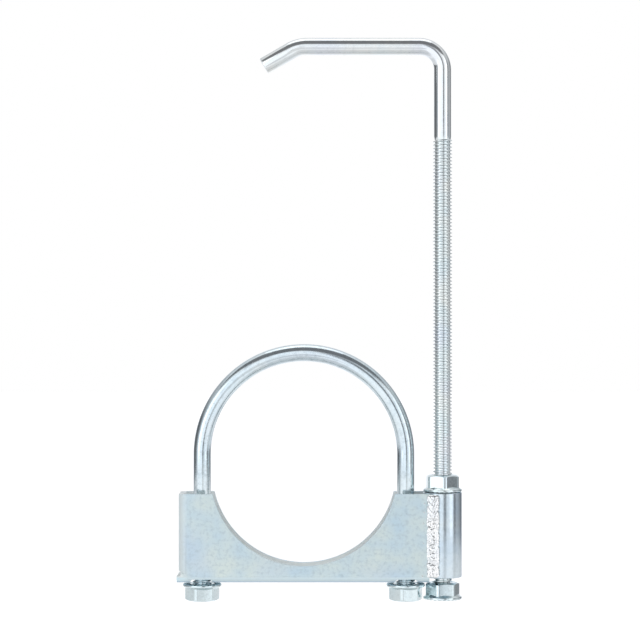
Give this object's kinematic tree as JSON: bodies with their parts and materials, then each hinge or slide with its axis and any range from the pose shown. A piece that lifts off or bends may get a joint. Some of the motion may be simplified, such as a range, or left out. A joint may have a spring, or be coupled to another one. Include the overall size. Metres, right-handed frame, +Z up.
{
  "type": "saddle clamp u-bolt",
  "caption": "Saddle-type U-bolt pipe clamp with flange nuts and a welded side sleeve that holds a long threaded hook rod.",
  "frame": {"origin": "centre of the saddle's pipe seat, on the pipe's axis, halfway through the saddle's depth", "axes": "+Y along the pipe's axis, away from the viewer; +Z up from the saddle to the arch and the hook; +X towards the sleeve"},
  "size_m": [0.1168, 0.0202, 0.2314],
  "materials": {
    "sheet": "bright zinc-plated pressed sheet, satin with a fine grain",
    "tube": "bright zinc-plated drawn tube, semi-gloss",
    "weld": "bright zinc-plated weld metal, rippled and glossy",
    "rod": "bright zinc-plated rod, glossy, with rolled threads",
    "nut": "bright zinc-plated cold-formed nut, semi-gloss"
  },
  "bodies": {
    "clamp_base": {"saddle": "sheet", "sleeve": "tube", "weld_front": "weld", "weld_back": "weld"},
    "left_nut": {"u_bolt_nut_left": "nut"},
    "right_nut": {"u_bolt_nut_right": "nut"},
    "u_bolt": {"u_bolt": "rod"},
    "upper_nut": {"hook_nut_upper": "nut"},
    "hook_rod": {"hook_rod": "rod"},
    "lower_nut": {"hook_nut_lower": "nut"}
  },
  "joints": [
    {"name": "left_nut_turn", "type": "hinge", "parent": "clamp_base", "child": "left_nut", "pos_m": [-0.04185, 0, -0.0495], "axis": [0, 0, 1], "range_deg": [-1080, 1800]},
    {"name": "right_nut_turn", "type": "hinge", "parent": "clamp_base", "child": "right_nut", "pos_m": [0.04185, 0, -0.0495], "axis": [0, 0, 1], "range_deg": [-1080, 1800]},
    {"name": "u_bolt_draw", "type": "slide", "parent": "clamp_base", "child": "u_bolt", "axis": [0, 0, -1], "range_m": [-0.00424, 0.00706]},
    {"name": "hook_swing", "type": "hinge", "parent": "clamp_base", "child": "upper_nut", "pos_m": [0.057, 0, -0.005], "axis": [0, 0, 1], "continuous": true},
    {"name": "hook_height", "type": "slide", "parent": "upper_nut", "child": "hook_rod", "axis": [0, 0, 1], "range_m": [-0.1, 0]},
    {"name": "lower_nut_turn", "type": "hinge", "parent": "clamp_base", "child": "lower_nut", "pos_m": [0.057, 0, -0.049], "axis": [0, 0, 1], "continuous": true}
  ],
  "couplings": [
    {"joint": "left_nut_turn", "follows": "u_bolt_draw", "rad_per_m": 4452.7},
    {"joint": "right_nut_turn", "follows": "u_bolt_draw", "rad_per_m": 4452.7},
    {"joint": "lower_nut_turn", "follows": "hook_swing", "ratio": 1}
  ]
}
